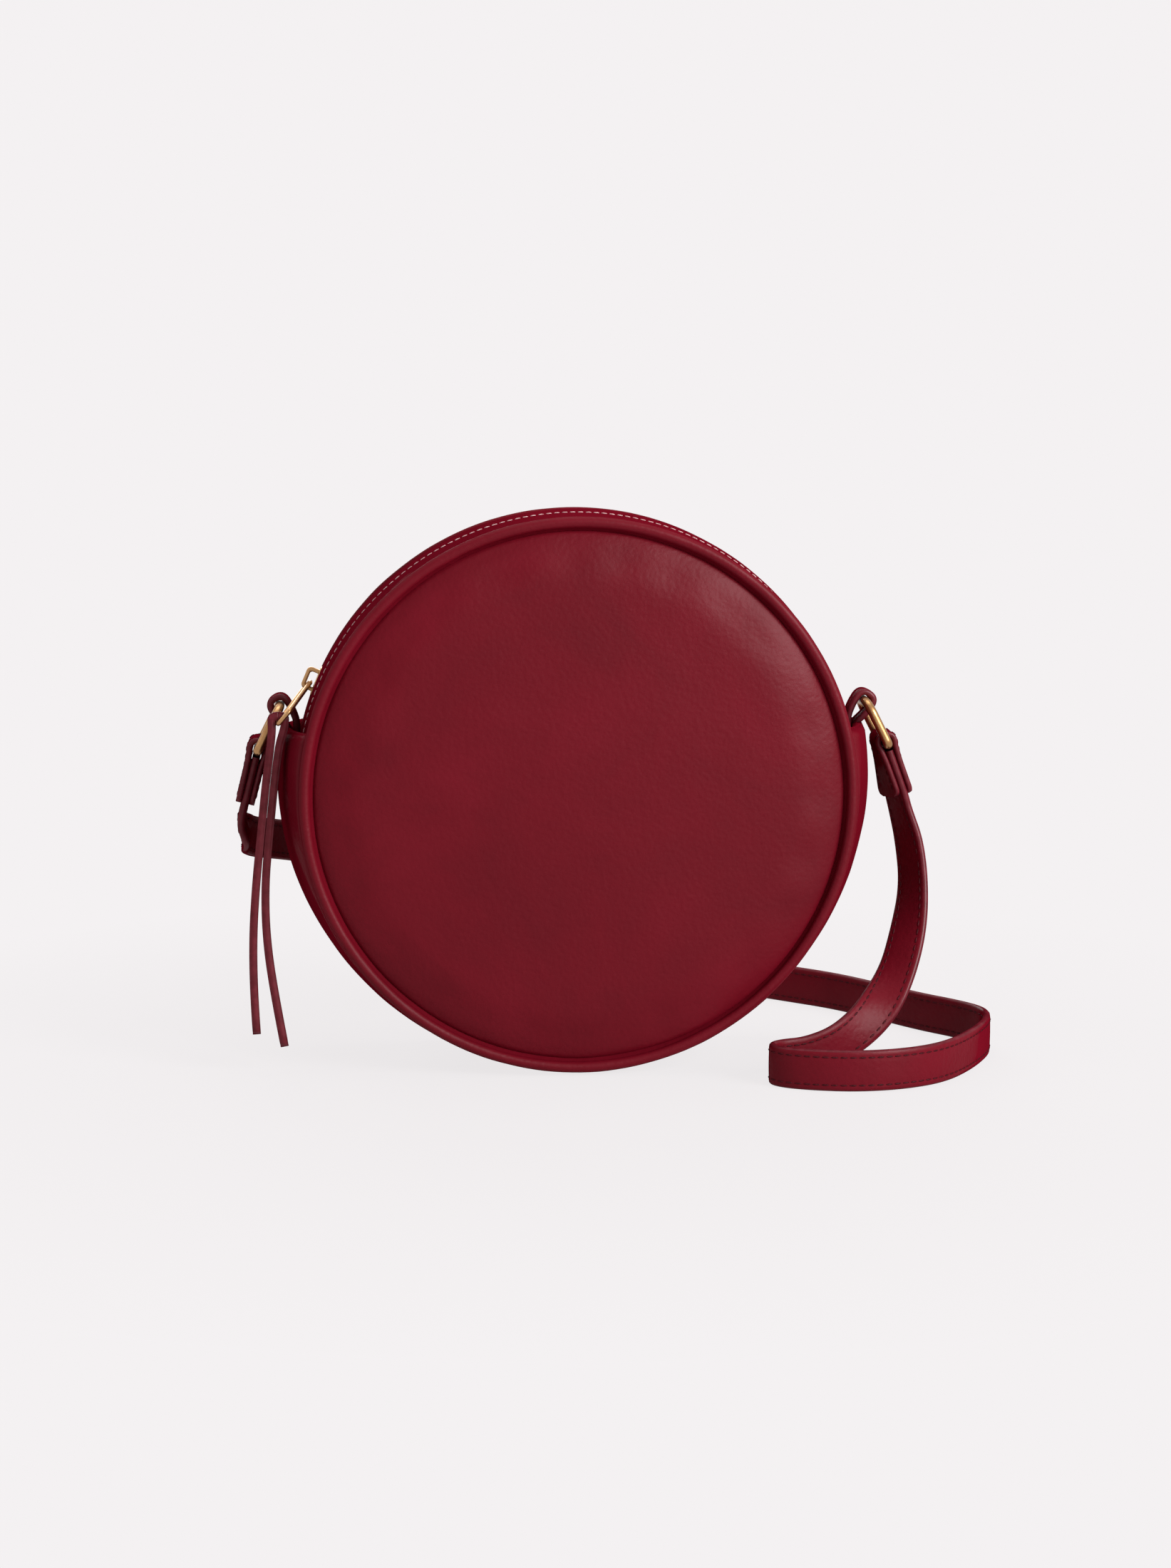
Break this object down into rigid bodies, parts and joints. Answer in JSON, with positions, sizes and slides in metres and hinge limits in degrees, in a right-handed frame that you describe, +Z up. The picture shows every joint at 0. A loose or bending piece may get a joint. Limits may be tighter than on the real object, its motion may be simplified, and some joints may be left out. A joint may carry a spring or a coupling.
{
  "type": "round crossbody bag",
  "caption": "Round leather crossbody bag with domed padded faces, piped edges, an arched zip with wire pull and thong, side pockets, swinging rings and a long flat strap.",
  "frame": {"origin": "on the floor under the middle of the bag, in the plane of its flat base", "axes": "+X to the right seen from the front, +Y to the back along the axis of the round faces, +Z up"},
  "size_m": [0.2624, 0.1629, 0.1908],
  "materials": {
    "leather": "satin burgundy grain",
    "lining": "woven",
    "foam": "matte",
    "zip_tape": "woven",
    "gold_metal": "brushed gold"
  },
  "bodies": {
    "bag": {"front_panel": "leather", "back_panel": "leather", "front_piping": "leather", "back_piping": "leather", "side_band": "leather", "front_zip_facing": "leather", "back_zip_facing": "leather", "left_ring_loop": "leather", "right_ring_loop": "leather", "strap_right_run": "leather", "strap_folded": "leather", "strap_left_run": "leather", "front_lining": "lining", "back_lining": "lining", "side_lining": "lining", "front_foam": "foam", "back_foam": "foam", "front_zip_tape": "zip_tape", "back_zip_tape": "zip_tape", "front_zip_teeth": "gold_metal", "back_zip_teeth": "gold_metal", "zip_end_stops": "gold_metal"},
    "slider": {"zip_slider": "gold_metal"},
    "pull": {"zip_pull": "gold_metal"},
    "thong": {"pull_thong": "leather"},
    "left_ring": {"left_ring": "gold_metal"},
    "left_tab": {"left_strap_tab": "leather"},
    "right_ring": {"right_ring": "gold_metal"},
    "right_tab": {"right_strap_tab": "leather"}
  },
  "joints": [
    {"name": "zip_travel", "type": "hinge", "parent": "bag", "child": "slider", "pos_m": [0, 0, 0.095], "axis": [0, 1, 0], "range_deg": [0, 131], "deforming": ["front_zip_teeth", "back_zip_teeth"]},
    {"name": "pull_swing", "type": "hinge", "parent": "slider", "child": "pull", "pos_m": [-0.09004, 0, 0.13177], "axis": [0, 1, 0], "range_deg": [0, 90]},
    {"name": "thong_swing", "type": "hinge", "parent": "pull", "child": "thong", "pos_m": [-0.1006, -0.017, 0.12], "axis": [0, 1, 0], "range_deg": [0, 60]},
    {"name": "left_ring_swing", "type": "hinge", "parent": "bag", "child": "left_ring", "pos_m": [-0.1004, 0, 0.124], "axis": [0, 1, 0], "range_deg": [-8, 40], "deforming": ["strap_left_run"]},
    {"name": "left_tab_swing", "type": "hinge", "parent": "left_ring", "child": "left_tab", "pos_m": [-0.10789, 0, 0.1093], "axis": [0, 1, 0], "range_deg": [-4, 25], "deforming": ["strap_left_run"]},
    {"name": "right_ring_swing", "type": "hinge", "parent": "bag", "child": "right_ring", "pos_m": [0.1004, 0, 0.124], "axis": [0, -1, 0], "range_deg": [-8, 40], "deforming": ["strap_right_run"]},
    {"name": "right_tab_swing", "type": "hinge", "parent": "right_ring", "child": "right_tab", "pos_m": [0.10789, 0, 0.1093], "axis": [0, -1, 0], "range_deg": [-4, 25], "deforming": ["strap_right_run"]}
  ]
}
